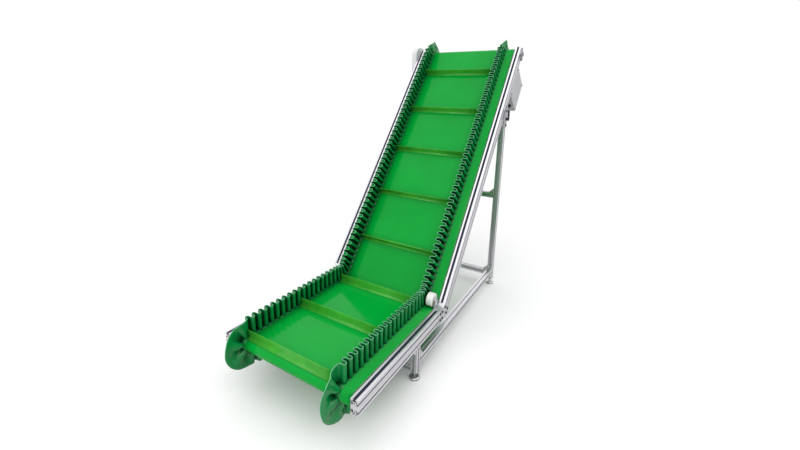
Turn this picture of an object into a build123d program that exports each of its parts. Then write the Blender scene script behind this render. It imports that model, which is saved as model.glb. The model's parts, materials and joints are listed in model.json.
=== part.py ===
from build123d import *
import math
import os

# Inclined belt conveyor with a horizontal infeed, corrugated sidewalls and cleats.
#
# X runs across the belt, Y along the direction of travel from the infeed to the head,
# Z up. While it is built, Y = 0 is the infeed end of the side rails, X = 0 the middle
# of the belt and Z = 0 the floor; at the end everything moves so that the origin is the
# middle of the footprint at floor level.

# ---------------------------------------------------------------- driving sizes (mm)
rail_span = 850.0            # over the outer faces of the two side rails
infeed_length = 830.0        # level stretch, rail end to knee, measured on the rail tops
incline_length = 1980.0      # sloping stretch, knee to rail end, on the rail tops
incline_angle = 52.0         # slope of the upper rails, degrees
deck_height = 270.0          # top of the level rails above the floor

profile = 40.0               # T-slot profile module
rail_depth = 80.0            # side rails are one module wide and this deep
slot_opening = 8.2
slot_lip = 4.5
slot_cavity = 20.0
slot_depth = 12.5
slot_floor = 9.0             # width of the cavity at its deepest
profile_corner = 2.0
profile_core = 6.8           # bore down the middle of each module
cover_gap = 0.1              # slot cover to each side of the slot
cover_stem = 2.5             # how far a slot cover reaches into the slot
cover_head_width = 14.0
cover_head_height = 0.8

knee_cut_lower = 59.0        # the level rail stops this far short of the knee
knee_cut_upper = 21.0        # the sloping rail starts this far past the knee

belt_thickness = 3.0
belt_edge_gap = 5.0          # belt edge to the inner face of the rail
sidewall_height = 98.0
sidewall_wave = 40.0         # over the corrugations
sidewall_inner_x = 284.0     # middle of the belt to the inside of the corrugations
cleat_height = 50.0
cleat_web = 4.0
cleat_foot = 24.0
cleat_foot_height = 3.0
cleat_count = 16
cleat_end_gap = 1.5          # cleat end to the corrugations
cleat_phase = 5.0            # where the first cleat stands before the top of the tail drum

drum_radius = 35.0
drum_inset = 44.0            # tail drum axis to the end of the level rail
head_inset = 36.0            # head drum axis to the end of the sloping rail
running_gap = 0.4            # belt to every round part that turns under it
drum_side_gap = 11.0         # drum end to rail
drum_wall = 6.0
drum_end_plate = 10.0
shaft_radius = 12.5
tail_shaft_end_gap = 2.0     # to the rail
shaft_stub = 6.0             # head shaft past its right bearing, or short of the guard
journal_gap = 0.05           # radial running clearance of a journal
hold_down_radius = 40.0
hold_down_width = 36.0
arm_bed_gap = 0.6            # hold-down arm to the edge of the belt and its bed
arm_foot = 25.0              # foot of a hold-down arm above the rail underside
arm_back = 34.0              # arm plate, from its axle towards the infeed
arm_front = 18.0             # and towards the incline
arm_shoulder = 12.0          # below the rail top
arm_boss_radius = 16.0
knee_roller_radius = 25.0
return_wheel_radius = 30.0
return_wheel_width = 30.0
return_wheel_station = 1000.0   # along the slope from the knee
axle_radius = 8.0
hanger_thickness = 6.0
hanger_width = 40.0
hanger_drop = 16.0           # below the axle

bed_thickness = 2.0
bed_gap = 0.3                # slider bed to belt
bed_drum_gap = 10.0          # clear of the drum when the take-up is fully in
level_tie_places = (200.0, 620.0)     # cross ties from the infeed end
first_slope_tie = 160.0      # from the knee
last_slope_tie = 180.0       # from the head drum
slope_tie_count = 4

take_up_block_wall = 4.5     # left round the shaft
take_up_block_thickness = 9.4
take_up_gap = 0.3            # take-up block to rail
take_up_travel = 30.0        # of the slides, towards the knee
tension_screw_radius = 3.0
tension_screw_length = 66.0
tension_socket_radius = 1.5
tension_socket_depth = 4.0
tension_bracket_y = 100.0
tension_bracket_length = 12.0
tension_bracket_height = 32.0

leg_front_y = 506.0          # front face of the front legs
leg_rear_y = 1773.0          # front face of the rear legs
leg_bottom = 40.0
rear_leg_gap = 10.0          # top of a rear leg to the sloping rail
long_bar_z = 106.0           # middle height of the lengthwise bars
front_bar_z = 60.0
rear_bar_z = 92.0
upper_bar_z = 730.0
butt_gap = 0.1               # sawn end of a lengthwise bar to the face of a leg

foot_pad_radius = 30.0
foot_pad_height = 14.0
foot_pad_round = 9.0
foot_stem_radius = 4.0
foot_stem_gap = 0.08         # radial, stem to its hole
foot_stem_reach = 45.0       # into the leg
foot_stem_end_gap = 2.0      # left above the stem when the foot is fully up
foot_travel = 10.0           # up or down from the middle setting
foot_plate_thickness = 6.0

guard_width = 156.0
guard_depth = 39.0           # outer face of the drive plate to the outer face of the guard
guard_top = 78.0             # above the head shaft
guard_wall = 1.5
guard_corner = 60.0
guard_edge_round = 4.0
chain_drop = 340.0           # head shaft down to the motor shaft
drive_plate_thickness = 6.0
drive_teeth = 15
driven_teeth = 19
chain_pitch = 12.7
chain_height = 10.0
chain_width = 7.0
sprocket_gap = 0.5

bearing_plate = 72.0          # square flange
bearing_plate_thickness = 8.0
bearing_hub_radius = 26.0
bearing_depth = 14.0
bearing_screw_pitch = 52.0
bearing_corner = 9.0
shaft_hole_gap = 3.0         # shaft to the hole through rail and drive plate

motor_radius = 56.0
gearbox_size = 110.0
gearbox_length = 120.0
gearbox_corner = 14.0
gearbox_bore_depth = 21.0
motor_shaft_radius = 10.0
motor_shaft_reach = 20.0     # into the gearbox
motor_length = 190.0
motor_flange = 10.0
motor_core_depth = 6.0       # finned body below the flanges
fin_count = 28
fin_thickness = 3.0
fin_height = 8.0
fan_cover_length = 46.0
fan_cover_round = 8.0
terminal_start = 40.0        # past the gearbox
terminal_length = 90.0
terminal_width = 84.0
terminal_height = 38.0
terminal_corner = 6.0

bracket_leg = 34.0           # corner brackets of the stand
bracket_wall = 4.0
cheek_thickness = 5.0        # pivot brackets
cheek_inset = 2.0            # in from the faces of the leg
cheek_down = 90.0            # below the top of the leg
cheek_up_front = 40.0
cheek_up_rear = 70.0
cheek_corner = 5.0
lever_drop = 30.0            # hub below the top of the leg
lever_hub_radius = 11.0
lever_hub_length = 20.0
lever_arm = 62.0
lever_arm_width = 14.0
lever_arm_thickness = 12.0
lever_arm_corner = 5.0

box_start = 1600.0           # control box, along the slope
box_length = 250.0
box_depth = 200.0
box_thickness = 60.0
box_wall = 2.0
gland_radius = 8.0
gland_hexagon_radius = 12.0
gland_hexagon_length = 7.0
gland_dome_radius = 9.0
gland_dome_end = 17.0        # from the box
gland_stem_end = 8.0         # inside the box
gland_share = 0.66           # of the box depth, from the rail

screw_head_radius = 7.0
screw_head_height = 4.4
screw_head_round = 1.6
screw_socket_radius = 2.6
screw_socket_depth = 2.4
bearing_screw_head = 6.0
lid_screw_head = 4.0
lid_screw_inset = 12.0
rail_screw_offset = 20.0     # from the nearer edge of a rail

# ---------------------------------------------------------------- derived sizes
slope = math.radians(incline_angle)
COS = math.cos(slope)
SIN = math.sin(slope)
rail_outer_x = rail_span / 2
rail_inner_x = rail_outer_x - profile
rail_axis_x = rail_outer_x - profile / 2
take_up_half = shaft_radius + take_up_block_wall
belt_half_width = rail_inner_x - belt_edge_gap
drum_half_width = rail_inner_x - drum_side_gap
wrap_radius = drum_radius + running_gap
rail_mid = -rail_depth / 2
tail_y = drum_inset
tail_z = deck_height + rail_mid
head_s = incline_length - head_inset
belt_top_n = rail_mid + wrap_radius + belt_thickness
sidewall_outer_x = sidewall_inner_x + sidewall_wave


def on_slope(s, n):
    """(y, z) of a point s along the slope from the knee and n square above the rail tops."""
    return (infeed_length + s * COS - n * SIN, deck_height + s * SIN + n * COS)


head_y, head_z = on_slope(head_s, rail_mid)


def level_plane(x):
    """Sketch plane square to X: local x is Y, local y is Z."""
    return Plane(origin=(x, 0, 0), x_dir=(0, 1, 0), z_dir=(1, 0, 0))


def slope_plane(x):
    """Sketch plane square to X with its origin at the knee: local x is s, local y is n."""
    return Plane(origin=(x, infeed_length, deck_height), x_dir=(0, COS, SIN), z_dir=(1, 0, 0))


def meet(level_z, slope_n):
    """(y, z) where a level line at height level_z meets a sloping line at offset slope_n."""
    s = (level_z - deck_height - slope_n * COS) / SIN
    return on_slope(s, slope_n)


hold_down_centre = meet(
    tail_z + wrap_radius + belt_thickness + running_gap + hold_down_radius,
    belt_top_n + running_gap + hold_down_radius,
)
knee_roller_centre = meet(
    tail_z - wrap_radius + running_gap + knee_roller_radius,
    rail_mid - wrap_radius + running_gap + knee_roller_radius,
)


def rod(x_low, x_high, y, z, radius):
    """Round bar along X."""
    middle = (x_low + x_high) / 2
    return Pos(middle, y, z) * Rot(0, 90, 0) * Cylinder(radius, x_high - x_low)


def block(x_low, x_high, y_low, y_high, z_low, z_high):
    """Rectangular block between two corners."""
    size = (x_high - x_low, y_high - y_low, z_high - z_low)
    centre = ((x_low + x_high) / 2, (y_low + y_high) / 2, (z_low + z_high) / 2)
    return Pos(*centre) * Box(*size)


def slope_block(x_low, x_high, s_low, s_high, n_low, n_high):
    """Rectangular block lined up with the slope."""
    outline = Pos((s_low + s_high) / 2, (n_low + n_high) / 2) * Rectangle(s_high - s_low, n_high - n_low)
    return extrude(slope_plane(x_low) * outline, amount=x_high - x_low)


def group(solids):
    """Separate solids kept together in one node."""
    return Compound(children=[solid for shape in solids for solid in shape.solids()])


# ---------------------------------------------------------------- T-slot profiles
def slot_section():
    """One T-slot, opening upwards at the origin."""
    half_open = slot_opening / 2
    half_cavity = slot_cavity / 2
    shoulder = (slot_depth + slot_lip) / 2
    return make_face(Polyline(
        (-half_open, 1), (-half_open, -slot_lip), (-half_cavity, -slot_lip), (-half_cavity, -shoulder),
        (-slot_floor / 2, -slot_depth), (slot_floor / 2, -slot_depth), (half_cavity, -shoulder),
        (half_cavity, -slot_lip), (half_open, -slot_lip), (half_open, 1), close=True,
    ))


def profile_section(width, height):
    """Section of a T-slot profile, with one slot for every module of each side."""
    section = RectangleRounded(width, height, profile_corner)
    across = int(round(width / profile))
    up = int(round(height / profile))
    for i in range(across):
        x = (i - (across - 1) / 2) * profile
        section -= Pos(x, height / 2) * slot_section()
        section -= Pos(x, -height / 2) * Rot(0, 0, 180) * slot_section()
    for i in range(up):
        y = (i - (up - 1) / 2) * profile
        section -= Pos(width / 2, y) * Rot(0, 0, -90) * slot_section()
        section -= Pos(-width / 2, y) * Rot(0, 0, 90) * slot_section()
    for i in range(across):
        for j in range(up):
            x = (i - (across - 1) / 2) * profile
            y = (j - (up - 1) / 2) * profile
            section -= Pos(x, y) * Circle(profile_core / 2)
    return section


def bar(width, height, start, along, across, length):
    """T-slot bar from start, running along one direction, its width lying across another."""
    plane = Plane(origin=start, x_dir=across, z_dir=along)
    return extrude(plane * profile_section(width, height), amount=length)


def rail_lower(side):
    start = (side * rail_axis_x, 0, deck_height + rail_mid)
    return bar(profile, rail_depth, start, (0, 1, 0), (1, 0, 0), infeed_length - knee_cut_lower)


def rail_upper(side):
    y, z = on_slope(knee_cut_upper, rail_mid)
    start = (side * rail_axis_x, y, z)
    return bar(profile, rail_depth, start, (0, COS, SIN), (1, 0, 0), incline_length - knee_cut_upper)


def knee_block(side):
    """Cast corner piece that joins the level rail to the sloping one."""
    low = deck_height - rail_depth
    outline = make_face(Polyline(
        (infeed_length - knee_cut_lower, deck_height), (infeed_length, deck_height),
        on_slope(knee_cut_upper, 0), on_slope(knee_cut_upper, -rail_depth),
        (infeed_length + rail_depth * math.tan(slope / 2), low),
        (infeed_length - knee_cut_lower, low), close=True,
    ))
    x_low = side * rail_axis_x - profile / 2
    return extrude(level_plane(x_low) * outline, amount=profile)


def slot_covers():
    """Flat-headed sealing strips pressed into the top slots of the side rails."""
    stem = slot_opening - 2 * cover_gap
    section = Pos(0, -cover_stem / 2) * Rectangle(stem, cover_stem)
    section += Pos(0, cover_head_height / 2) * Rectangle(cover_head_width, cover_head_height)
    level_length = infeed_length - knee_cut_lower
    sloping_length = incline_length - knee_cut_upper
    solids = []
    for side in (-1, 1):
        x = side * rail_axis_x
        level = Plane(origin=(x, level_length, deck_height), x_dir=(1, 0, 0), z_dir=(0, -1, 0))
        sloping = Plane(origin=(x, *on_slope(incline_length, 0)), x_dir=(1, 0, 0), z_dir=(0, -COS, -SIN))
        solids.append(extrude(level * section, amount=level_length))
        solids.append(extrude(sloping * section, amount=sloping_length))
    return group(solids)


# ---------------------------------------------------------------- belt path
def belt_stations():
    """Centres and radii that the inner face of the belt goes round, in travel order."""
    return (
        ("tail", (tail_y, tail_z), wrap_radius),
        ("knee_roller", knee_roller_centre, knee_roller_radius + running_gap),
        ("head", (head_y, head_z), wrap_radius),
        ("hold_down", hold_down_centre, hold_down_radius + running_gap + belt_thickness),
    )


def away(centre, radius, angle):
    """Point at a radius from a centre; angle in degrees from +Y towards +Z."""
    turn = math.radians(angle)
    return (centre[0] + radius * math.cos(turn), centre[1] + radius * math.sin(turn))


def belt_outline(offset):
    """Closed outline of the belt, offset outwards from its inner face."""
    (_, tail, tail_r), (_, knee, knee_r), (_, head, head_r), (_, top, top_r) = belt_stations()
    down = -90.0
    lee = incline_angle - 90.0
    tail_r, knee_r, head_r, top_r = tail_r + offset, knee_r + offset, head_r + offset, top_r - offset
    edges = [ThreePointArc(away(tail, tail_r, 90), away(tail, tail_r, 180), away(tail, tail_r, 270))]
    edges.append(Line(away(tail, tail_r, 270), away(knee, knee_r, down)))
    edges.append(ThreePointArc(away(knee, knee_r, down), away(knee, knee_r, (down + lee) / 2),
                               away(knee, knee_r, lee)))
    edges.append(Line(away(knee, knee_r, lee), away(head, head_r, lee)))
    edges.append(ThreePointArc(away(head, head_r, lee), away(head, head_r, incline_angle),
                               away(head, head_r, incline_angle + 90)))
    head_top = away(head, head_r, incline_angle + 90)
    tail_top = away(tail, tail_r, 90)
    if top_r > 1:
        edges.append(Line(head_top, away(top, top_r, lee)))
        edges.append(ThreePointArc(away(top, top_r, lee), away(top, top_r, (down + lee) / 2),
                                   away(top, top_r, down)))
        edges.append(Line(away(top, top_r, down), tail_top))
    else:
        corner = away(top, top_r / math.cos(slope / 2), (down + lee) / 2)
        edges.append(Line(head_top, corner))
        edges.append(Line(corner, tail_top))
    return make_face(Wire(edges))


def belt_ring(low, high, x_low, x_high):
    """Everything between two offsets of the belt path."""
    outer = extrude(level_plane(x_low) * belt_outline(high), amount=x_high - x_low)
    inner = extrude(level_plane(x_low) * belt_outline(low), amount=x_high - x_low)
    return outer - inner


def belt_carcass():
    return belt_ring(0, belt_thickness, -belt_half_width, belt_half_width)


def sidewall(side):
    x_low = sidewall_inner_x if side > 0 else -sidewall_outer_x
    return belt_ring(belt_thickness, belt_thickness + sidewall_height, x_low, x_low + sidewall_wave)


def belt_walk():
    """Belt path as straight and curved runs: (start, direction, length, turn radius, turn centre)."""
    (_, tail, tail_r), (_, knee, knee_r), (_, head, head_r), (_, top, top_r) = belt_stations()
    lee = incline_angle - 90.0
    half = belt_thickness / 2
    runs = []

    def straight(start, end, facing):
        runs.append(("line", start, end, facing, math.dist(start, end)))

    def curve(centre, radius, first, last, outward):
        length = abs(math.radians(last - first)) * (radius + half * outward)
        runs.append(("arc", centre, radius, (first, last, outward), length))

    curve(tail, tail_r, 90, 270, 1)
    straight(away(tail, tail_r, 270), away(knee, knee_r, -90), -90)
    curve(knee, knee_r, -90, lee, 1)
    straight(away(knee, knee_r, lee), away(head, head_r, lee), lee)
    curve(head, head_r, lee, lee + 180, 1)
    straight(away(head, head_r, lee + 180), away(top, top_r, lee), lee + 180)
    curve(top, top_r, lee, -90, -1)
    straight(away(top, top_r, -90), away(tail, tail_r, 90), 90)
    return runs


def belt_station(distance):
    """Point on the inner face and outward angle at a distance along the belt."""
    for run in belt_walk():
        length = run[-1]
        if distance > length:
            distance -= length
            continue
        share = distance / length
        if run[0] == "line":
            start, end, facing = run[1], run[2], run[3]
            return (start[0] + (end[0] - start[0]) * share, start[1] + (end[1] - start[1]) * share), facing
        centre, radius, (first, last, outward) = run[1], run[2], run[3]
        angle = first + (last - first) * share
        return away(centre, radius, angle), angle if outward > 0 else angle + 180
    raise ValueError("distance is past the end of the belt")


def cleats():
    """T-shaped cleats bonded across the belt at equal spacing."""
    total = sum(run[-1] for run in belt_walk())
    half_length = sidewall_inner_x - cleat_end_gap
    carcass = belt_carcass()
    solids = []
    for i in range(cleat_count):
        distance = (cleat_phase + i * total / cleat_count) % total
        (y, z), facing = belt_station(distance)
        web = Pos(0, belt_thickness + cleat_height / 2) * Rectangle(cleat_web, cleat_height)
        foot = Pos(0, belt_thickness + cleat_foot_height / 2) * Rectangle(cleat_foot, cleat_foot_height)
        turn = math.radians(facing - 90)
        plane = Plane(origin=(-half_length, y, z), x_dir=(0, math.cos(turn), math.sin(turn)), z_dir=(1, 0, 0))
        solids.append(extrude(plane * (web + foot), amount=2 * half_length) - carcass)
    return group(solids)


# ---------------------------------------------------------------- drums and rollers
def drum():
    """Rubber-lagged drum body with end plates, bored for its shaft."""
    tube = rod(-drum_half_width, drum_half_width, 0, 0, drum_radius)
    hollow_end = drum_half_width - drum_end_plate
    hollow = rod(-hollow_end, hollow_end, 0, 0, drum_radius - drum_wall)
    bore = rod(-rail_span, rail_span, 0, 0, shaft_radius)
    return tube - hollow - bore


def tail_drum():
    bored = drum() - rod(-rail_span, rail_span, 0, 0, shaft_radius + journal_gap)
    return Pos(0, tail_y, tail_z) * bored


def head_drum():
    return Pos(0, head_y, head_z) * drum()


def tail_shaft():
    end = rail_inner_x - tail_shaft_end_gap
    return rod(-end, end, tail_y, tail_z, shaft_radius)


def tail_bearings():
    """Take-up blocks that hold the ends of the tail shaft and slide along the rails."""
    outer = rail_inner_x - take_up_gap
    inner = outer - take_up_block_thickness
    solids = []
    for low in (inner, -outer):
        body = block(low, low + take_up_block_thickness, tail_y - take_up_half, tail_y + take_up_half,
                     tail_z - take_up_half, tail_z + take_up_half)
        solids.append(body - rod(-rail_span, rail_span, tail_y, tail_z, shaft_radius))
    return group(solids)


def tension_screw_x():
    return rail_inner_x - take_up_gap - take_up_block_thickness / 2


def along_y(x, y_low, y_high, z, radius):
    """Round bar along Y."""
    return Pos(x, (y_low + y_high) / 2, z) * Rot(90, 0, 0) * Cylinder(radius, y_high - y_low)


def tension_screws():
    """Screws that draw the take-up blocks towards the infeed end."""
    start = tail_y + take_up_half
    solids = []
    for side in (-1, 1):
        x = side * tension_screw_x()
        end = start + tension_screw_length
        shank = along_y(x, start, end, tail_z, tension_screw_radius)
        solids.append(shank - along_y(x, end - tension_socket_depth, end + 1, tail_z, tension_socket_radius))
    return group(solids)


def tension_brackets():
    solids = []
    for side in (-1, 1):
        x = side * tension_screw_x()
        half = rail_inner_x - tension_screw_x()
        body = block(x - half, x + half, tension_bracket_y, tension_bracket_y + tension_bracket_length,
                     tail_z - tension_bracket_height / 2, tail_z + tension_bracket_height / 2)
        hole = along_y(x, tension_bracket_y - 1, tension_bracket_y + tension_bracket_length + 1, tail_z,
                       tension_screw_radius + journal_gap)
        solids.append(body - hole)
    return group(solids)


def left_bearing_face():
    return rail_outer_x + drive_plate_thickness


def head_shaft():
    """Drive shaft, longer on the left where it carries the driven sprocket."""
    left = left_bearing_face() + guard_depth - shaft_stub
    right = rail_outer_x + bearing_depth + shaft_stub
    return rod(-left, right, head_y, head_z, shaft_radius)


def head_bearing(side):
    """Flange bearing on the outside of the rail."""
    face = rail_outer_x if side > 0 else left_bearing_face()
    low, high = (face, face + bearing_plate_thickness) if side > 0 else (-face - bearing_plate_thickness, -face)
    half = bearing_plate / 2
    plate = slope_block(low, high, head_s - half, head_s + half, rail_mid - half, rail_mid + half)
    plate = fillet(plate.edges().filter_by(Axis.X), bearing_corner)
    hub_low, hub_high = (face, face + bearing_depth) if side > 0 else (-face - bearing_depth, -face)
    hub = rod(hub_low, hub_high, head_y, head_z, bearing_hub_radius)
    bore = rod(hub_low - 1, hub_high + 1, head_y, head_z, shaft_radius + journal_gap)
    return plate + hub - bore


def hold_down_disc(side):
    """Nylon disc that presses the free edge of the belt into the knee."""
    middle = (sidewall_outer_x + belt_half_width) / 2
    low = side * middle - hold_down_width / 2
    y, z = hold_down_centre
    disc = rod(low, low + hold_down_width, y, z, hold_down_radius)
    disc = fillet(disc.edges().filter_by(GeomType.CIRCLE), 3.0)
    return disc - rod(low - 1, low + hold_down_width + 1, y, z, axle_radius + journal_gap)


def hold_down_arms():
    """Plates on the inside of the knee with the fixed axles of the hold-down discs."""
    inner = belt_half_width + arm_bed_gap
    y, z = hold_down_centre
    low_z = deck_height - rail_depth + arm_foot
    shoulder_z = deck_height - arm_shoulder
    disc_inner = (sidewall_outer_x + belt_half_width) / 2 - hold_down_width / 2
    solids = []
    for side in (-1, 1):
        x_low, x_high = (inner, rail_inner_x) if side > 0 else (-rail_inner_x, -inner)
        outline = make_face(Polyline(
            (y - arm_back, low_z), (y + arm_front, low_z), (y + arm_front, shoulder_z),
            (y + arm_boss_radius, z), (y - arm_boss_radius, z), (y - arm_back, shoulder_z), close=True))
        plate = extrude(level_plane(x_low) * outline, amount=x_high - x_low)
        plate += rod(x_low, x_high, y, z, arm_boss_radius)
        a, b = (disc_inner, inner) if side > 0 else (-inner, -disc_inner)
        solids.append(plate + rod(a, b, y, z, axle_radius))
    return group(solids)


def knee_roller():
    y, z = knee_roller_centre
    body = rod(-drum_half_width, drum_half_width, y, z, knee_roller_radius)
    return body - rod(-rail_span, rail_span, y, z, axle_radius + journal_gap)


def knee_axle():
    y, z = knee_roller_centre
    return rod(-rail_inner_x, rail_inner_x, y, z, axle_radius)


def return_wheel_n():
    return rail_mid - wrap_radius - belt_thickness - running_gap - return_wheel_radius


def return_wheel_centre():
    return on_slope(return_wheel_station, return_wheel_n())


def return_wheel(side):
    """Wheel under the free edge of the returning belt."""
    middle = (sidewall_outer_x + belt_half_width) / 2
    low = side * middle - return_wheel_width / 2
    y, z = return_wheel_centre()
    wheel = rod(low, low + return_wheel_width, y, z, return_wheel_radius)
    wheel = fillet(wheel.edges().filter_by(GeomType.CIRCLE), 2.5)
    return wheel - rod(low - 1, low + return_wheel_width + 1, y, z, axle_radius + journal_gap)


def return_wheel_axles():
    """Stub axles of the return wheels on hangers under the rails."""
    y, z = return_wheel_centre()
    wheel_inner = (sidewall_outer_x + belt_half_width) / 2 - return_wheel_width / 2
    hanger_inner = rail_axis_x - hanger_thickness / 2
    s_low, s_high = return_wheel_station - hanger_width / 2, return_wheel_station + hanger_width / 2
    solids = []
    for side in (-1, 1):
        a, b = (wheel_inner, hanger_inner) if side > 0 else (-hanger_inner, -wheel_inner)
        x_low = side * rail_axis_x - hanger_thickness / 2
        plate = slope_block(x_low, x_low + hanger_thickness, s_low, s_high,
                            return_wheel_n() - hanger_drop, -rail_depth)
        solids.append(plate + rod(a, b, y, z, axle_radius))
    return group(solids)


# ---------------------------------------------------------------- slider beds and ties
def bed_top_n():
    return rail_mid + wrap_radius - bed_gap


def bed_lower():
    top = tail_z + wrap_radius - bed_gap
    start = tail_y + drum_radius + bed_drum_gap
    end = hold_down_centre[0] - bed_drum_gap
    return block(-belt_half_width, belt_half_width, start, end, top - bed_thickness, top)


def bed_upper():
    top = bed_top_n()
    knee_s = (hold_down_centre[0] - infeed_length) * COS + (hold_down_centre[1] - deck_height) * SIN
    start = knee_s + bed_drum_gap
    end = head_s - drum_radius - bed_drum_gap
    return slope_block(-belt_half_width, belt_half_width, start, end, top - bed_thickness, top)


def cross_ties():
    """Profiles across the frame between the top and return runs, carrying the slider beds."""
    solids = []
    z = tail_z + wrap_radius - bed_gap - bed_thickness - profile / 2
    for y in level_tie_places:
        solids.append(bar(profile, profile, (-rail_inner_x, y, z), (1, 0, 0), (0, 1, 0), 2 * rail_inner_x))
    n = bed_top_n() - bed_thickness - profile / 2
    step = (head_s - last_slope_tie - first_slope_tie) / (slope_tie_count - 1)
    for i in range(slope_tie_count):
        y, z = on_slope(first_slope_tie + i * step, n)
        solids.append(bar(profile, profile, (-rail_inner_x, y, z), (1, 0, 0), (0, COS, SIN), 2 * rail_inner_x))
    return group(solids)


# ---------------------------------------------------------------- stand
def rail_underside(y):
    """Height of the underside of the sloping rail at a distance along the conveyor."""
    return deck_height + (y - infeed_length) * math.tan(slope) - rail_depth / COS


def leg(side, y, top):
    """Upright drilled at the bottom for the stem of its levelling foot."""
    x = side * rail_axis_x
    start = leg_bottom + foot_plate_thickness
    upright = bar(profile, profile, (x, y, start), (0, 0, 1), (1, 0, 0), top - start)
    drilled_to = leg_bottom + foot_stem_reach + foot_travel + foot_stem_end_gap
    drill = Pos(x, y, drilled_to / 2) * Cylinder(foot_stem_radius + foot_stem_gap, drilled_to)
    return upright - drill


def leg_front(side):
    return leg(side, leg_front_y + profile / 2, deck_height - rail_depth)


def leg_rear_top():
    return rail_underside(leg_rear_y) - rear_leg_gap


def leg_rear(side):
    return leg(side, leg_rear_y + profile / 2, leg_rear_top())


def long_bars():
    """Lengthwise bars between the front and rear legs."""
    solids = []
    for side in (-1, 1):
        start = (side * rail_axis_x, leg_front_y + profile + butt_gap, long_bar_z)
        length = leg_rear_y - leg_front_y - profile - 2 * butt_gap
        solids.append(bar(profile, profile, start, (0, 1, 0), (1, 0, 0), length))
    return group(solids)


def crossbars():
    """Bars between the left and right legs."""
    front = leg_front_y + profile / 2
    rear = leg_rear_y + profile / 2
    solids = []
    for y, z in ((front, front_bar_z), (rear, rear_bar_z), (rear, upper_bar_z)):
        solids.append(bar(profile, profile, (-rail_inner_x, y, z), (1, 0, 0), (0, 1, 0), 2 * rail_inner_x))
    return group(solids)


def corner_bracket(corner, first, second):
    """Die-cast right-angle bracket: two flanges along first and second with gusset cheeks."""
    plane = Plane(origin=corner, x_dir=first, z_dir=tuple(Vector(*first).cross(Vector(*second))))
    half = bracket_leg / 2
    outline = make_face(Polyline((0, 0), (bracket_leg, 0), (bracket_leg, bracket_wall),
                                 (bracket_wall, bracket_leg), (0, bracket_leg), close=True))
    body = extrude(plane * outline, amount=half, both=True)
    pocket = make_face(Polyline((bracket_wall, bracket_wall), (bracket_leg + 1, bracket_wall),
                                (bracket_leg + 1, bracket_leg + 1), (bracket_wall, bracket_leg + 1), close=True))
    return body - extrude(plane * pocket, amount=half - bracket_wall, both=True)


def corner_brackets():
    """Brackets in the corners of the stand."""
    solids = []
    under = deck_height - rail_depth
    for side in (-1, 1):
        x = side * rail_axis_x
        inward = (-side, 0, 0)
        solids.append(corner_bracket((x, leg_front_y, under), (0, 0, -1), (0, -1, 0)))
        solids.append(corner_bracket((x, leg_front_y + profile, long_bar_z + profile / 2), (0, 0, 1), (0, 1, 0)))
        solids.append(corner_bracket((x, leg_rear_y, long_bar_z + profile / 2), (0, 0, 1), (0, -1, 0)))
        for y, z in ((leg_rear_y, rear_bar_z), (leg_rear_y, upper_bar_z)):
            face = (side * rail_inner_x, y + profile / 2, z + profile / 2)
            solids.append(corner_bracket(face, (0, 0, 1), inward))
        face = (side * rail_inner_x, leg_front_y + profile / 2, front_bar_z + profile / 2)
        solids.append(corner_bracket(face, (0, 0, 1), inward))
    return group(solids)


def pivot_brackets():
    """Cheek plates that hold the sloping rails on the rear legs."""
    top = leg_rear_top()
    front, rear = leg_rear_y + cheek_inset, leg_rear_y + profile - cheek_inset
    outline = make_face(Polyline((front, top - cheek_down), (rear, top - cheek_down),
                                 (rear, top + cheek_up_rear), (front, top + cheek_up_front), close=True))
    solids = []
    for side in (-1, 1):
        for low in (side * rail_outer_x, side * rail_inner_x):
            outward = low * side > rail_axis_x
            x_low = low if outward == (side > 0) else low - cheek_thickness
            plate = extrude(level_plane(x_low) * outline, amount=cheek_thickness)
            solids.append(fillet(plate.edges().filter_by(Axis.X), cheek_corner))
    return group(solids)


def lever_centre():
    return (leg_rear_y + profile / 2, leg_rear_top() - lever_drop)


def clamp_lever(side):
    """Hand lever that clamps the pivot bracket."""
    y, z = lever_centre()
    face = rail_outer_x + cheek_thickness
    low, high = (face, face + lever_hub_length) if side > 0 else (-face - lever_hub_length, -face)
    hub = rod(low, high, y, z, lever_hub_radius)
    arm_low = high - lever_arm_thickness if side > 0 else low
    arm = block(arm_low, arm_low + lever_arm_thickness, y - lever_arm_width / 2, y + lever_arm_width / 2,
                z, z + lever_arm)
    arm = fillet(arm.edges().filter_by(Axis.X), lever_arm_corner)
    return hub + arm


def foot(side, y):
    """Levelling foot: round pad with a threaded stem into the end of the leg."""
    x = side * rail_axis_x
    pad = Pos(x, y, foot_pad_height / 2) * Cylinder(foot_pad_radius, foot_pad_height)
    pad = fillet(pad.edges().filter_by(GeomType.CIRCLE).group_by(Axis.Z)[-1], foot_pad_round)
    stem_top = leg_bottom + foot_stem_reach
    stem = Pos(x, y, (foot_pad_height + stem_top) / 2) * Cylinder(foot_stem_radius, stem_top - foot_pad_height)
    return pad + stem


def foot_plates():
    """Square plates that close the legs and guide the foot stems."""
    z = leg_bottom + foot_plate_thickness / 2
    solids = []
    for side in (-1, 1):
        for y in (leg_front_y + profile / 2, leg_rear_y + profile / 2):
            x = side * rail_axis_x
            hole = Cylinder(foot_stem_radius + foot_stem_gap, 2 * foot_plate_thickness)
            solids.append(Pos(x, y, z) * (Box(profile, profile, foot_plate_thickness) - hole))
    return group(solids)


# ---------------------------------------------------------------- drive
def motor_axis():
    return head_y, head_z - chain_drop


def sprocket_radius(teeth):
    return chain_pitch / 2 / math.sin(math.pi / teeth)


def sprocket_span():
    middle = left_bearing_face() + bearing_depth + (guard_depth - bearing_depth) / 2
    return -middle - chain_width / 2, -middle + chain_width / 2


def sprocket(teeth, y, z, bore):
    low, high = sprocket_span()
    disc = rod(low, high, y, z, sprocket_radius(teeth) - chain_height / 2 - sprocket_gap)
    return disc - rod(low - 1, high + 1, y, z, bore)


def driven_sprocket():
    return sprocket(driven_teeth, head_y, head_z, shaft_radius)


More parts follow.
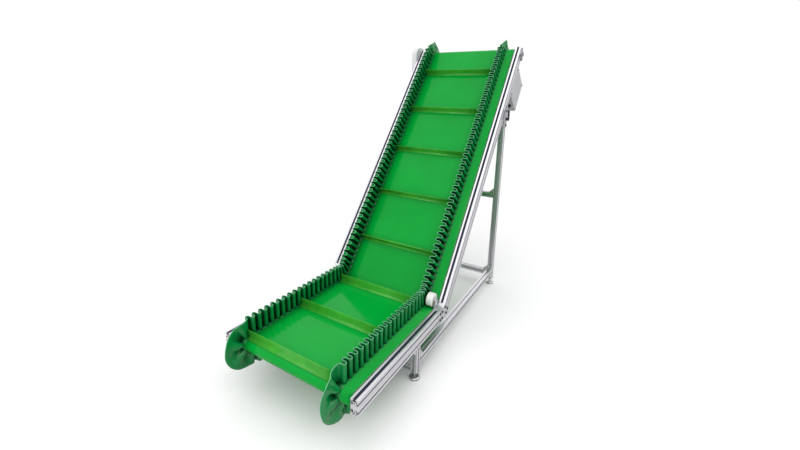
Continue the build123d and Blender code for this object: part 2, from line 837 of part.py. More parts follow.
def drive_sprocket():
    y, z = motor_axis()
    return sprocket(drive_teeth, y, z, motor_shaft_radius)


def motor_shaft():
    y, z = motor_axis()
    low, high = sprocket_span()
    return rod(low, -rail_outer_x + motor_shaft_reach, y, z, motor_shaft_radius)


def chain_outline(offset):
    circles = Pos(head_y, head_z) * Circle(sprocket_radius(driven_teeth) + offset)
    lower_y, lower_z = motor_axis()
    circles += Pos(lower_y, lower_z) * Circle(sprocket_radius(drive_teeth) + offset)
    return make_hull(circles.edges())


def drive_chain():
    low, high = sprocket_span()
    band = chain_outline(chain_height / 2) - chain_outline(-chain_height / 2)
    return extrude(level_plane(low) * band, amount=high - low)


def guard_outline(shrink):
    width = guard_width - 2 * shrink
    height = chain_drop + 2 * (guard_top - shrink)
    return Pos(head_y, head_z - chain_drop / 2) * RectangleRounded(width, height, guard_corner - shrink)


def drive_plate():
    """Steel plate on the left rail that carries the head bearing, the gearmotor and the guard."""
    low = -rail_outer_x - drive_plate_thickness
    plate = extrude(level_plane(low) * guard_outline(0), amount=drive_plate_thickness)
    y, z = motor_axis()
    plate -= rod(low - 1, -rail_outer_x + 1, head_y, head_z, shaft_radius + shaft_hole_gap)
    return plate - rod(low - 1, -rail_outer_x + 1, y, z, motor_shaft_radius + shaft_hole_gap)


def chain_guard():
    """Folded cover over the chain drive, open towards the drive plate."""
    low = -left_bearing_face() - guard_depth
    shell = extrude(level_plane(low) * guard_outline(0), amount=guard_depth)
    shell = fillet(shell.faces().sort_by(Axis.X)[0].edges(), guard_edge_round)
    inside = extrude(level_plane(low + guard_wall) * guard_outline(guard_wall), amount=guard_depth)
    return shell - inside


def gearbox():
    y, z = motor_axis()
    half = gearbox_size / 2
    body = block(-rail_outer_x, -rail_outer_x + gearbox_length, y - half, y + half, z - half, z + half)
    body = fillet(body.edges().filter_by(Axis.X), gearbox_corner)
    bore_end = -rail_outer_x + gearbox_bore_depth
    return body - rod(-rail_outer_x - 1, bore_end, y, z, motor_shaft_radius + journal_gap)


def motor():
    """Finned motor body between two flanges."""
    y, z = motor_axis()
    start = -rail_outer_x + gearbox_length
    end = start + motor_length
    body = rod(start, end, y, z, motor_radius - motor_core_depth)
    body += rod(start, start + motor_flange, y, z, motor_radius)
    body += rod(end - motor_flange, end, y, z, motor_radius)
    fin_middle = motor_radius - fin_height / 2 - 1
    for i in range(fin_count):
        fin = Pos((start + end) / 2, y, z) * Rot(360.0 / fin_count * i, 0, 0) * Pos(0, 0, fin_middle)
        body += fin * Box(motor_length - 1, fin_thickness, fin_height)
    return body


def terminal_box():
    y, z = motor_axis()
    start = -rail_outer_x + gearbox_length + terminal_start
    face = y + motor_radius
    body = block(start, start + terminal_length, face, face + terminal_height,
                 z - terminal_width / 2, z + terminal_width / 2)
    return fillet(body.edges().filter_by(Axis.Y), terminal_corner)


def fan_cover():
    y, z = motor_axis()
    start = -rail_outer_x + gearbox_length + motor_length
    body = rod(start, start + fan_cover_length, y, z, motor_radius)
    return fillet(body.edges().group_by(Axis.X)[-1], fan_cover_round)


# ---------------------------------------------------------------- control box
def box_span():
    return rail_outer_x - box_thickness, rail_outer_x


def gland_plane():
    """Plane on the lower end of the box, facing into it."""
    low, high = box_span()
    y, z = on_slope(box_start, -rail_depth - box_depth * gland_share)
    return Plane(origin=((low + high) / 2, y, z), z_dir=(0, COS, SIN))


def control_box():
    """Folded steel box under the right rail, open on its outer side."""
    low, high = box_span()
    n_high = -rail_depth
    body = slope_block(low, high - box_wall, box_start, box_start + box_length, n_high - box_depth, n_high)
    inside = slope_block(low + box_wall, high, box_start + box_wall, box_start + box_length - box_wall,
                         n_high - box_depth + box_wall, n_high - box_wall)
    return body - inside - gland_plane() * Cylinder(gland_radius, 4 * box_wall)


def control_box_lid():
    low, high = box_span()
    n_high = -rail_depth
    return slope_block(high - box_wall, high, box_start, box_start + box_length, n_high - box_depth, n_high)


def cable_gland():
    """Cable entry in the lower end of the control box."""
    plane = gland_plane()
    stem = plane * Cylinder(gland_radius, 2 * gland_stem_end)
    hexagon = plane * extrude(RegularPolygon(gland_hexagon_radius, 6), amount=-gland_hexagon_length)
    dome = plane * extrude(Circle(gland_dome_radius), amount=-gland_dome_end)
    return stem + hexagon + dome


# ---------------------------------------------------------------- screws
def screw_x(side, face, y, z, head=screw_head_radius):
    """Button-head screw with its head standing on a face square to X."""
    low, high = (face, face + screw_head_height) if side > 0 else (-face - screw_head_height, -face)
    body = rod(low, high, y, z, head)
    body = fillet(body.edges().filter_by(GeomType.CIRCLE).sort_by(Axis.X)[-1 if side > 0 else 0], screw_head_round)
    a, b = (high - screw_socket_depth, high + 1) if side > 0 else (low - 1, low + screw_socket_depth)
    return body - rod(a, b, y, z, screw_socket_radius)


def knee_screw_places():
    """(y, z) of the screws in each side of a knee block."""
    upper, lower = -rail_screw_offset, rail_screw_offset - rail_depth
    places = []
    for inset in (14.0, 42.0):
        for n in (upper, lower):
            places.append((infeed_length - knee_cut_lower + inset, deck_height + n))
    for inset, n in ((14.0, lower), (40.0, lower), (14.0, upper)):
        places.append(on_slope(knee_cut_upper - inset, n))
    return places


def socket_screws():
    """All the button-head screws of the frame."""
    solids = []
    for side in (-1, 1):
        for y, z in knee_screw_places():
            solids.append(screw_x(side, rail_outer_x, y, z))
        half = bearing_screw_pitch / 2
        face = (rail_outer_x if side > 0 else left_bearing_face()) + bearing_plate_thickness
        for ds in (-half, half):
            for dn in (-half, half):
                y, z = on_slope(head_s + ds, rail_mid + dn)
                solids.append(screw_x(side, face, y, z, bearing_screw_head))
        top = leg_rear_top()
        for dz in (-74.0, 28.0):
            solids.append(screw_x(side, rail_outer_x + cheek_thickness, leg_rear_y + profile / 2, top + dz))
    _, high = box_span()
    for ds in (lid_screw_inset, box_length - lid_screw_inset):
        for dn in (lid_screw_inset, box_depth - lid_screw_inset):
            y, z = on_slope(box_start + ds, -rail_depth - dn)
            solids.append(screw_x(1, high, y, z, lid_screw_head))
    return group(solids)


# ---------------------------------------------------------------- assembly
def drilled_rail_upper(side):
    """Sloping rail with the hole for the head shaft."""
    hole = rod(-rail_span, rail_span, head_y, head_z, shaft_radius + shaft_hole_gap)
    return rail_upper(side) - hole


def build():
    """Every piece of the conveyor by node name."""
    front_y = leg_front_y + profile / 2
    rear_y = leg_rear_y + profile / 2
    pieces = {
        "rail_lower_left": rail_lower(-1), "rail_lower_right": rail_lower(1),
        "rail_upper_left": drilled_rail_upper(-1), "rail_upper_right": drilled_rail_upper(1),
        "knee_block_left": knee_block(-1), "knee_block_right": knee_block(1),
        "slot_covers": slot_covers(),
        "bed_lower": bed_lower(), "bed_upper": bed_upper(), "cross_ties": cross_ties(),
        "leg_front_left": leg_front(-1), "leg_front_right": leg_front(1),
        "leg_rear_left": leg_rear(-1), "leg_rear_right": leg_rear(1),
        "long_bars": long_bars(), "crossbars": crossbars(),
        "corner_brackets": corner_brackets(), "pivot_brackets": pivot_brackets(),
        "clamp_lever_left": clamp_lever(-1), "clamp_lever_right": clamp_lever(1),
        "foot_front_left": foot(-1, front_y), "foot_front_right": foot(1, front_y),
        "foot_rear_left": foot(-1, rear_y), "foot_rear_right": foot(1, rear_y),
        "foot_plates": foot_plates(),
        "belt_carcass": belt_carcass(), "sidewall_left": sidewall(-1), "sidewall_right": sidewall(1),
        "cleats": cleats(),
        "tail_drum": tail_drum(), "tail_shaft": tail_shaft(),
        "tail_bearings": tail_bearings(),
        "tension_screws": tension_screws(), "tension_brackets": tension_brackets(),
        "head_drum": head_drum(), "head_shaft": head_shaft(),
        "head_bearing_left": head_bearing(-1), "head_bearing_right": head_bearing(1),
        "hold_down_disc_left": hold_down_disc(-1), "hold_down_disc_right": hold_down_disc(1),
        "hold_down_arms": hold_down_arms(),
        "knee_roller": knee_roller(), "knee_axle": knee_axle(),
        "return_wheel_left": return_wheel(-1), "return_wheel_right": return_wheel(1),
        "return_wheel_axles": return_wheel_axles(),
        "drive_plate": drive_plate(), "gearbox": gearbox(), "motor": motor(),
        "terminal_box": terminal_box(), "fan_cover": fan_cover(), "motor_shaft": motor_shaft(),
        "drive_sprocket": drive_sprocket(), "driven_sprocket": driven_sprocket(),
        "drive_chain": drive_chain(), "chain_guard": chain_guard(),
        "control_box": control_box(), "control_box_lid": control_box_lid(), "cable_gland": cable_gland(),
        "socket_screws": socket_screws(),
    }
    return pieces


def footprint_shift(pieces):
    """Move that puts the middle of the footprint at the origin, on the floor."""
    boxes = [piece.bounding_box() for piece in pieces.values()]
    middle_x = (min(box.min.X for box in boxes) + max(box.max.X for box in boxes)) / 2
    middle_y = (min(box.min.Y for box in boxes) + max(box.max.Y for box in boxes)) / 2
    return Pos(-middle_x, -middle_y, 0)


def write_parts():
    os.makedirs("parts", exist_ok=True)
    pieces = build()
    shift = footprint_shift(pieces)
    for name, piece in pieces.items():
        export_step(shift * piece, "parts/" + name + ".step")
    print("pieces", len(pieces), "origin shift", shift.position)


write_parts()
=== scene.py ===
# %% [markdown]
# # An inclined cleated belt conveyor
# This lesson dresses a packed mechanical model. The model already holds every solid of the
# conveyor in its true place and size, so nothing here is placed by eye: each new piece
# takes its position from the boxes of the solids that it belongs to.

# %% Load the mechanical model
import json
import math
import bmesh
import bpy
from mathutils import Matrix, Vector


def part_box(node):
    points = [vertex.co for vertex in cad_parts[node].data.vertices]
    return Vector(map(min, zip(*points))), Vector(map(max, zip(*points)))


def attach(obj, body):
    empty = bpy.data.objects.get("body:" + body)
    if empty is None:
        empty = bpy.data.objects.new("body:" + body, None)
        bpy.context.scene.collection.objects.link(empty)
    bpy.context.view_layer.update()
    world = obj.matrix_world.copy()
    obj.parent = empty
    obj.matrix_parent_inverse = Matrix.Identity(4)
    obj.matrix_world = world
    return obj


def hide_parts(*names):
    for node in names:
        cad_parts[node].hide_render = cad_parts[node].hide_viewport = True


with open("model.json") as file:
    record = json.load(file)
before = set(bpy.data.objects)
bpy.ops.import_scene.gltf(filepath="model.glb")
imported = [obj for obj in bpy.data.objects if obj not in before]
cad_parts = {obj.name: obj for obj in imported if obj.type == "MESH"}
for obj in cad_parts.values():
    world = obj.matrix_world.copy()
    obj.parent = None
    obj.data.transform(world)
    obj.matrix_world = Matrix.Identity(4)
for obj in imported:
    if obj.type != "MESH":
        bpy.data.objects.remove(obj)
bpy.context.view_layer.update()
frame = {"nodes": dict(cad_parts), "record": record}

# %% [markdown]
# ## Sizes that the belt path needs
# A conveyor belt is one closed loop of even thickness. Its path is set by the round parts
# that it passes over, so their centres and radii are read from the model. The small
# running gap keeps the belt clear of the drums that turn inside it.

# %% Read the round parts
BELT_THICK = 0.003
HALF_THICK = BELT_THICK / 2
RUNNING_GAP = 0.0004
CLEAT_COUNT = 16
FLUTES_PER_CLEAT = 9
SLOPE = math.radians(52.0)


def round_part(name):
    """Centre (y, z) and radius of a solid that is round about X."""
    low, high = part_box(name)
    return (low[1] + high[1]) / 2, (low[2] + high[2]) / 2, (high[2] - low[2]) / 2


tail_y, tail_z, drum_r = round_part("tail_drum")
head_y, head_z, _ = round_part("head_drum")
disc_y, disc_z, disc_r = round_part("hold_down_disc_right")
roller_y, roller_z, roller_r = round_part("knee_roller")
belt_low, belt_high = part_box("belt_carcass")
wall_low, wall_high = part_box("sidewall_right")
rail_low, rail_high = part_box("rail_lower_right")
MID_X = (belt_low[0] + belt_high[0]) / 2
print("tail drum at", round(tail_y, 3), round(tail_z, 3), "radius", round(drum_r, 4))

# %% [markdown]
# ## Walking along the belt
# The path is described as a turtle would walk it: go straight, turn through an angle,
# go straight again. A point on the belt is then a distance along the walk and a height
# above the inner face, which lets a flat strip be bent into the whole loop.

# %% Build the walk
wrap_r = drum_r + RUNNING_GAP
knee_r = disc_r + RUNNING_GAP + BELT_THICK
bend_r = roller_r + RUNNING_GAP


def polar(centre, radius, angle):
    """Point at a radius and an angle from a centre, all seen from the side as (y, z)."""
    return Vector((centre[0] + radius * math.cos(angle), centre[1] + radius * math.sin(angle)))


below_slope = SLOPE - math.pi / 2
above_slope = SLOPE + math.pi / 2
knee_end = polar((disc_y, disc_z), knee_r, below_slope)
head_top = polar((head_y, head_z), wrap_r, above_slope)
head_under = polar((head_y, head_z), wrap_r, below_slope)
bend_start = polar((roller_y, roller_z), bend_r, below_slope)
KNEE, HEAD = 1, 3
legs = [
    ("straight", disc_y - tail_y),
    ("turn", SLOPE, knee_r),
    ("straight", (head_top - knee_end).length),
    ("turn", -math.pi, wrap_r),
    ("straight", (bend_start - head_under).length),
    ("turn", -SLOPE, bend_r),
    ("straight", roller_y - tail_y),
    ("turn", -math.pi, wrap_r),
]


def leg_length(leg):
    """Length of a leg along the middle of the belt's thickness."""
    if leg[0] == "straight":
        return leg[1]
    side = 1 if leg[1] < 0 else -1
    return abs(leg[1]) * (leg[2] + side * HALF_THICK)


WALK = []
place = Vector((tail_y, tail_z + wrap_r))
heading = 0.0
travelled = 0.0
for leg in legs:
    WALK.append((travelled, place.copy(), heading, leg))
    travelled += leg_length(leg)
    if leg[0] == "straight":
        place += Vector((math.cos(heading), math.sin(heading))) * leg[1]
    else:
        side = math.copysign(math.pi / 2, leg[1])
        centre = polar(place, leg[2], heading + side)
        heading += leg[1]
        place = polar(centre, leg[2], heading - side)
LOOP = travelled
closing_gap = (place - WALK[0][1]).length
print("belt loop", round(LOOP, 4), "m, closes within", round(closing_gap * 1000, 3), "mm")


def on_belt(distance):
    """Inner-face point and heading at a distance along the loop."""
    distance %= LOOP
    start, origin, heading, leg = [w for w in WALK if w[0] <= distance + 1e-9][-1]
    share = (distance - start) / leg_length(leg)
    if leg[0] == "straight":
        ahead = Vector((math.cos(heading), math.sin(heading)))
        return origin + ahead * leg[1] * share, heading
    side = math.copysign(math.pi / 2, leg[1])
    centre = polar(origin, leg[2], heading + side)
    heading += leg[1] * share
    return polar(centre, leg[2], heading - side), heading


# %% [markdown]
# ## Small helpers
# Every piece is made the same way: a bmesh is shaped, its normals are made to face
# outwards, and it becomes a smooth object that rides on a body of the mechanical model.
# Where it is a better version of a plain solid, it also stands in for that solid.

# %% Finish a piece
def finish_piece(bm, name, body, instead_of):
    bmesh.ops.recalc_face_normals(bm, faces=bm.faces)
    mesh = bpy.data.meshes.new(name)
    bm.to_mesh(mesh)
    bm.free()
    for polygon in mesh.polygons:
        polygon.use_smooth = True
    piece = bpy.data.objects.new(name, mesh)
    bpy.context.collection.objects.link(piece)
    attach(piece, body)
    if instead_of:
        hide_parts(*instead_of)
    print(name, "faces", len(mesh.polygons))
    return piece


# %% [markdown]
# ## The belt
# A light conveyor belt is a woven polyester carcass with a smooth green cover pressed on
# top. It could be cut from the solid ring, but a strip of faces bent round the walk keeps
# the drum wraps smooth. Solidify then gives it its 3 mm, and its second material shows the
# bare fabric on the side that slides over the bed.

# %% Bend a strip round the loop
STRAIGHT_STEP = 0.06
TURN_STEP = math.radians(6)
BELT_LANE = 0.2


def strip_stations():
    """Distances along the loop: few on straight legs, many where the belt turns."""
    stations = []
    for start, _, _, leg in WALK:
        length = leg_length(leg)
        if leg[0] == "straight":
            count = max(2, round(length / STRAIGHT_STEP))
        else:
            count = max(6, round(abs(leg[1]) / TURN_STEP))
        stations += [start + length * i / count for i in range(count)]
    return stations


def bent_strip(bm, stations, cross_points):
    """Closed band whose cross-section is a list of (x, height above the inner face)."""
    columns, lanes = len(stations), len(cross_points) - 1
    grid = bmesh.ops.create_grid(bm, x_segments=columns, y_segments=lanes, size=0.5)
    for vert in grid["verts"]:
        along = round((vert.co.x + 0.5) * columns)
        across = round((vert.co.y + 0.5) * lanes)
        x, height = cross_points[across]
        point, heading = on_belt(stations[along % columns])
        vert.co = (x, point.x - math.sin(heading) * height, point.y + math.cos(heading) * height)
    bmesh.ops.remove_doubles(bm, verts=grid["verts"], dist=1e-6)


bm = bmesh.new()
lanes_x = (belt_low[0], MID_X - BELT_LANE, MID_X, MID_X + BELT_LANE, belt_high[0])
bent_strip(bm, strip_stations(), [(x, HALF_THICK) for x in lanes_x])
belt = finish_piece(bm, "belt_cover", "frame", ("belt_carcass",))
thick = belt.modifiers.new("thickness", "SOLIDIFY")
thick.thickness = BELT_THICK
thick.offset = 0.0
thick.use_even_offset = True
thick.material_offset = 1
thick.material_offset_rim = 1

# %% [markdown]
# ## Corrugated sidewalls
# The sidewalls are thin moulded webs, folded into flutes so that they can open like a fan
# round a drum and close up in a knee. Modelling one flute and copying it would leave the
# fan out, so a long sheet is bent instead. Each point knows how far apart the flutes are
# at its own height, and the folds get shallower where the sheet is pulled out, because the
# length of web in one flute stays the same. Round the small head drum even a flat web is
# too short for its full height, so its tip is drawn down there.

# %% Shape the flutes
WALL_HEIGHT = 0.098
ROW_HEIGHTS = (0.0, 0.006, 0.03, 0.06, 0.088, WALL_HEIGHT)
WEB_THICK = 0.0024
WEB_CLEARANCE = 0.0006
STEPS = 14
OVERHANG = 0.078
LEAST_DEPTH = 0.13
LEAN_REACH = 0.13
FACET = math.radians(62.0)
DRAW_REACH = 0.03
DRAW_EASE = 0.05
flutes = CLEAT_COUNT * FLUTES_PER_CLEAT
pitch = LOOP / flutes
WEB_LENGTH = 2.35 * pitch
wave_half = (wall_high[0] - wall_low[0]) / 2 - WEB_THICK / 2 - WEB_CLEARANCE
knee_middle = WALK[KNEE][0] + leg_length(legs[KNEE]) / 2


def wall_heading(distance):
    """Heading that the flutes stand square to: eased through the knee, so they never cross."""
    distance %= LOOP
    share = (distance - knee_middle + LEAN_REACH) / (2 * LEAN_REACH)
    if 0.0 < share < 1.0:
        return SLOPE * share * share * (3 - 2 * share)
    return on_belt(distance)[1]


def pulled_in(distance, height, keep):
    """Height on the head drum, where the tip keeps only a share of it and lies in flat facets."""
    start, length = WALK[HEAD][0], leg_length(legs[HEAD])
    offset = distance % LOOP - (start + length / 2)
    reach = length / 2 + DRAW_REACH
    if abs(offset) >= reach:
        return height
    ease = min(1.0, (reach - abs(offset)) / DRAW_EASE)
    angle = offset / length * math.pi
    local = (angle + FACET / 2) % FACET - FACET / 2
    flat = math.cos(FACET / 2) / math.cos(local)
    tip = (wrap_r + height * keep) * flat - wrap_r
    share = ease * height / (BELT_THICK + WALL_HEIGHT)
    return height * (1 - share) + tip * share


def wall_point(distance, height, keep):
    """Point of the sidewall, seen from the side, at a distance along the belt and a height."""
    point, _ = on_belt(distance)
    heading = wall_heading(distance)
    height = pulled_in(distance, height, keep)
    return Vector((point.x - math.sin(heading) * height, point.y + math.cos(heading) * height))


def fluted_wall(bm, middle_x, side, keep):
    columns, bands = flutes * STEPS, len(ROW_HEIGHTS) - 1
    grid = bmesh.ops.create_grid(bm, x_segments=columns, y_segments=bands, size=0.5)
    spread = {}
    for flute in range(flutes):
        for row, height in enumerate(ROW_HEIGHTS):
            lift = BELT_THICK + height
            near = wall_point(flute * pitch, lift, keep)
            far = wall_point((flute + 1) * pitch, lift, keep)
            spread[flute, row] = (far - near).length
    full_slack = math.sqrt(WEB_LENGTH ** 2 - pitch ** 2)
    for vert in grid["verts"]:
        column = round((vert.co.x + 0.5) * columns) % columns
        row = round((vert.co.y + 0.5) * bands)
        flute, step = divmod(column, STEPS)
        share = step / STEPS
        here = spread[flute, row] * (1 - share) + spread[(flute + 1) % flutes, row] * share
        slack = math.sqrt(max(WEB_LENGTH ** 2 - here ** 2, 0.0)) / full_slack
        depth = wave_half * min(max(slack, LEAST_DEPTH), 1.0)
        phase = 2 * math.pi * share
        overhang = OVERHANG * pitch * min(slack, 1.0)
        distance = (flute + share) * pitch - overhang * math.sin(2 * phase)
        place = wall_point(distance, BELT_THICK + ROW_HEIGHTS[row], keep)
        vert.co = (middle_x + side * depth * math.sin(phase), place.x, place.y)
    bmesh.ops.remove_doubles(bm, verts=grid["verts"], dist=1e-6)


for label, side, keep in (("left", -1, 0.95), ("right", 1, 0.78)):
    low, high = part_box("sidewall_" + label)
    bm = bmesh.new()
    fluted_wall(bm, (low[0] + high[0]) / 2, side, keep)
    wall = finish_piece(bm, "fluted_sidewall_" + label, "frame", ("sidewall_" + label,))
    web = wall.modifiers.new("web", "SOLIDIFY")
    web.thickness = WEB_THICK
    web.offset = 0.0
    web.material_offset_rim = 1

# %% [markdown]
# Each web stands on a flat foot that is welded to the belt. It is a thin band with chamfered
# edges, so it is bent round the same walk.

# %% Lay the weld strips
FOOT_INSET = 0.001
FOOT_CHAMFER = 0.0025
FOOT_SHEET = 0.0008
foot_bottom = BELT_THICK + 0.0001
foot_top = BELT_THICK + 0.0018
for label in ("left", "right"):
    low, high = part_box("sidewall_" + label)
    first, last = low[0] + FOOT_INSET, high[0] - FOOT_INSET
    bm = bmesh.new()
    bent_strip(bm, strip_stations(), [(first, foot_bottom), (first + FOOT_CHAMFER, foot_top),
                                      (last - FOOT_CHAMFER, foot_top), (last, foot_bottom)])
    weld = finish_piece(bm, "sidewall_foot_" + label, "frame", ())
    sheet = weld.modifiers.new("sheet", "SOLIDIFY")
    sheet.thickness = FOOT_SHEET
    sheet.offset = -1.0

# %% [markdown]
# ## Cleats
# A cleat is an extruded T: a broad foot welded to the belt, a fillet on each side and a
# web that thins towards its tip. Half of the section is drawn as a few points, from the
# foot to the tip, and mirrored; the face is then extruded across the belt.

# %% Extrude the cleats
CLEAT_LEAD = 0.005
cleat_low, cleat_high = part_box("cleats")
half_section = [
    (0.0180, 0.0000), (0.0178, 0.0012), (0.0140, 0.0018), (0.0104, 0.0032),
    (0.0076, 0.0056), (0.0055, 0.0090), (0.0041, 0.0135), (0.0031, 0.0200),
    (0.0024, 0.0320), (0.0019, 0.0480), (0.0010, 0.0499),
]
bm = bmesh.new()
for index in range(CLEAT_COUNT):
    distance = -(CLEAT_LEAD + index * LOOP / CLEAT_COUNT)
    point, heading = on_belt(distance)
    ahead = Vector((0, math.cos(heading), math.sin(heading)))
    up = Vector((0, -math.sin(heading), math.cos(heading)))
    foot = Vector((cleat_low[0], point.x, point.y)) + up * BELT_THICK
    ring = half_section + [(-a, h) for a, h in reversed(half_section)]
    verts = [bm.verts.new(foot + ahead * a + up * h) for a, h in ring]
    face = bm.faces.new(verts)
    swept = bmesh.ops.extrude_face_region(bm, geom=[face])
    moved = [v for v in swept["geom"] if isinstance(v, bmesh.types.BMVert)]
    bmesh.ops.translate(bm, verts=moved, vec=(cleat_high[0] - cleat_low[0], 0, 0))
cleats = finish_piece(bm, "welded_cleats", "frame", ("cleats",))

# %% [markdown]
# ## Fan cover grille
# The motor's fan draws its air through rings in the end of its cover. Each ring is a small
# circle spun about the motor's axis, which gives a clean closed torus.

# %% Spin the rings
GRILLE_WIRE = 0.0013
RING_COUNT = 5
INNER_RING = 0.010
RING_SPACING = 0.008
_, cover_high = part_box("fan_cover")
fan_y, fan_z, _ = round_part("fan_cover")
hub = Vector((cover_high[0], fan_y, fan_z))
bm = bmesh.new()
for number in range(RING_COUNT):
    over_hub = hub + Vector((0, 0, INNER_RING + RING_SPACING * number))
    upright = Matrix.Translation(over_hub) @ Matrix.Rotation(math.pi / 2, 4, "X")
    wire = bmesh.ops.create_circle(bm, segments=8, radius=GRILLE_WIRE, matrix=upright)["verts"]
    edges = list({edge for vert in wire for edge in vert.link_edges})
    bmesh.ops.spin(bm, geom=wire + edges, cent=hub, axis=(1, 0, 0), angle=2 * math.pi,
                   steps=40, use_merge=True)
grille = finish_piece(bm, "fan_cover_grille", "frame", ())

# %% [markdown]
# ## Softened edges on the metalwork
# Real extrusions and castings have no perfectly sharp edges: each catches a thin line of
# light. The imported solids are loose triangles, so on the blocks, brackets, plate and boxes
# listed here a Weld modifier joins them first and a narrow Bevel then breaks every sharp
# edge, without touching the mesh itself.

# %% Break the sharp edges
EDGE_WIDTH = 0.0006
SAME_POINT = 0.00002
SHARP_ANGLE = math.radians(40)
softened = ("knee_block_left", "knee_block_right", "corner_brackets", "drive_plate",
            "control_box", "control_box_lid", "pivot_brackets", "terminal_box")
for name in softened:
    part = frame["nodes"][name]
    join = part.modifiers.new("join", "WELD")
    join.merge_threshold = SAME_POINT
    edge = part.modifiers.new("edge", "BEVEL")
    edge.width = EDGE_WIDTH
    edge.segments = 2
    edge.limit_method = "ANGLE"
    edge.angle_limit = SHARP_ANGLE
print("softened", len(softened))

# %% [markdown]
# ## Building materials
# One small function adds a node, sets its inputs and makes its links, so that each
# material reads as a list of steps. Colours are written as the hex values that a colour
# picker shows and are turned to linear light once, here.

# %% Material helpers
CLOUD_RANGE = (0.3, 0.7)


def linear(hex_colour):
    """Linear red, green, blue and alpha of a colour picker's hex value."""
    parts = [int(hex_colour[i:i + 2], 16) / 255 for i in (1, 3, 5)]
    light = [c / 12.92 if c <= 0.04045 else ((c + 0.055) / 1.055) ** 2.4 for c in parts]
    return (*light, 1.0)


def add(tree, kind, settings=None, **inputs):
    """Adds a node and returns it.

    settings are the node's own options. An input is given by its name, or as i0, i1, i2
    for the first, second or third where names repeat; its value may be another node's
    output.
    """
    node = tree.nodes.new("ShaderNode" + kind)
    for key, value in (settings or {}).items():
        setattr(node, key, value)
    for key, value in inputs.items():
        numbered = key[0] == "i" and key[1:].isdigit()
        socket = node.inputs[int(key[1:]) if numbered else key.replace("_", " ")]
        if isinstance(value, bpy.types.NodeSocket):
            tree.links.new(value, socket)
        else:
            socket.default_value = value
    return node


def mixed(tree, share, first, second):
    """Colour that goes from first to second as share goes from 0 to 1."""
    blend = add(tree, "Mix", {"data_type": "RGBA"})
    sockets = {(s.name, s.type): s for s in blend.inputs}
    tree.links.new(share, sockets["Factor", "VALUE"])
    tree.links.new(first, sockets["A", "RGBA"])
    sockets["B", "RGBA"].default_value = second
    return next(s for s in blend.outputs if s.type == "RGBA")


def per_mm(size_mm):
    """Texture scale for a pattern whose repeat is this many millimetres."""
    return 1000.0 / size_mm


def surface(name, dark, light, mottle_mm, rough, grain_mm, grain_depth_mm, metallic=0.0,
            ior=1.5, stretch=(1.0, 1.0, 1.0), turn=(0.0, 0.0, 0.0), painted_shade=None, worn=None,
            **shader):
    """Principled surface with a mottled colour, uneven roughness and a fine relief.

    dark and light are the two tones of the mottle, rough the least and greatest roughness.
    stretch is how many times longer the pattern is along each axis, once turned by turn.
    painted_shade is (colour, reach in mm) for shade painted into corners and slots, and worn
    is (colour, width in mm) for edges that have been rubbed.
    """
    material = bpy.data.materials.new(name)
    material.use_nodes = True
    tree = material.node_tree
    tree.nodes.clear()
    where = add(tree, "TexCoord").outputs["Object"]
    laid = add(tree, "Mapping", {"vector_type": "TEXTURE"}, Vector=where, Rotation=turn,
               Scale=stretch).outputs["Vector"]
    cloud = add(tree, "TexNoise", Vector=laid, Scale=per_mm(mottle_mm), Detail=4.0,
                Roughness=0.6)
    grain = add(tree, "TexNoise", Vector=laid, Scale=per_mm(grain_mm), Detail=2.0,
                Roughness=0.5)
    tones = add(tree, "ValToRGB", Fac=cloud.outputs["Fac"])
    for stop, position, tone in zip(tones.color_ramp.elements, CLOUD_RANGE, (dark, light)):
        stop.position, stop.color = position, linear(tone)
    colour = tones.outputs["Color"]
    # Painted shade: the colour is drawn towards a darker tone in corners and slots, where the
    # ambient occlusion node finds other surfaces close by.
    if painted_shade:
        open_air = add(tree, "AmbientOcclusion", {"samples": 6}, Distance=painted_shade[1] / 1000)
        shaded = add(tree, "MapRange", Value=open_air.outputs["AO"], From_Min=0.15,
                     From_Max=0.85, To_Min=1.0, To_Max=0.0)
        colour = mixed(tree, shaded.outputs["Result"], colour, linear(painted_shade[0]))
    if worn:
        rounded = add(tree, "Bevel", {"samples": 4}, Radius=worn[1] / 1000)
        square = add(tree, "NewGeometry")
        alike = add(tree, "VectorMath", {"operation": "DOT_PRODUCT"},
                    i0=rounded.outputs["Normal"], i1=square.outputs["Normal"])
        patchy = add(tree, "TexNoise", Vector=where, Scale=per_mm(6.0), Detail=3.0)
        rim = add(tree, "MapRange", Value=alike.outputs["Value"], From_Min=0.99, From_Max=0.80,
                  To_Min=0.0, To_Max=1.0)
        rubbed = add(tree, "Math", {"operation": "MULTIPLY"}, i0=rim.outputs["Result"],
                     i1=patchy.outputs["Fac"])
        colour = mixed(tree, rubbed.outputs["Value"], colour, linear(worn[0]))
    uneven = add(tree, "MapRange", Value=cloud.outputs["Fac"], From_Min=CLOUD_RANGE[0],
                 From_Max=CLOUD_RANGE[1], To_Min=rough[0], To_Max=rough[1])
    relief = add(tree, "Bump", Height=grain.outputs["Fac"], Strength=1.0,
                 Distance=grain_depth_mm / 1000)
    look = add(tree, "BsdfPrincipled", Base_Color=colour, Metallic=metallic, IOR=ior,
               Roughness=uneven.outputs["Result"], Normal=relief.outputs["Normal"], **shader)
    add(tree, "OutputMaterial", Surface=look.outputs["BSDF"])
    print("material", name)
    return material


# %% [markdown]
# ### PVC belt cover
# The cover is calendered PVC: an even, saturated green with a soft gloss. It has a faint
# orange-peel from the press and slightly duller patches where goods have slid. A deeper
# green is painted in as shade where the sidewalls stand close.

# %% Belt cover and carcass fabric
pvc_cover = surface("PVC_belt_cover", "#029A33", "#02A339", 260.0, (0.06, 0.14), 1.6, 0.006,
                    ior=1.53, painted_shade=("#00662C", 60.0), Specular_IOR_Level=0.13)
carcass = surface("polyester_carcass_weave", "#B9BDB2", "#D3D5CB", 40.0, (0.75, 0.85), 1.2,
                  0.12)
belt.data.materials.append(pvc_cover)
belt.data.materials.append(carcass)
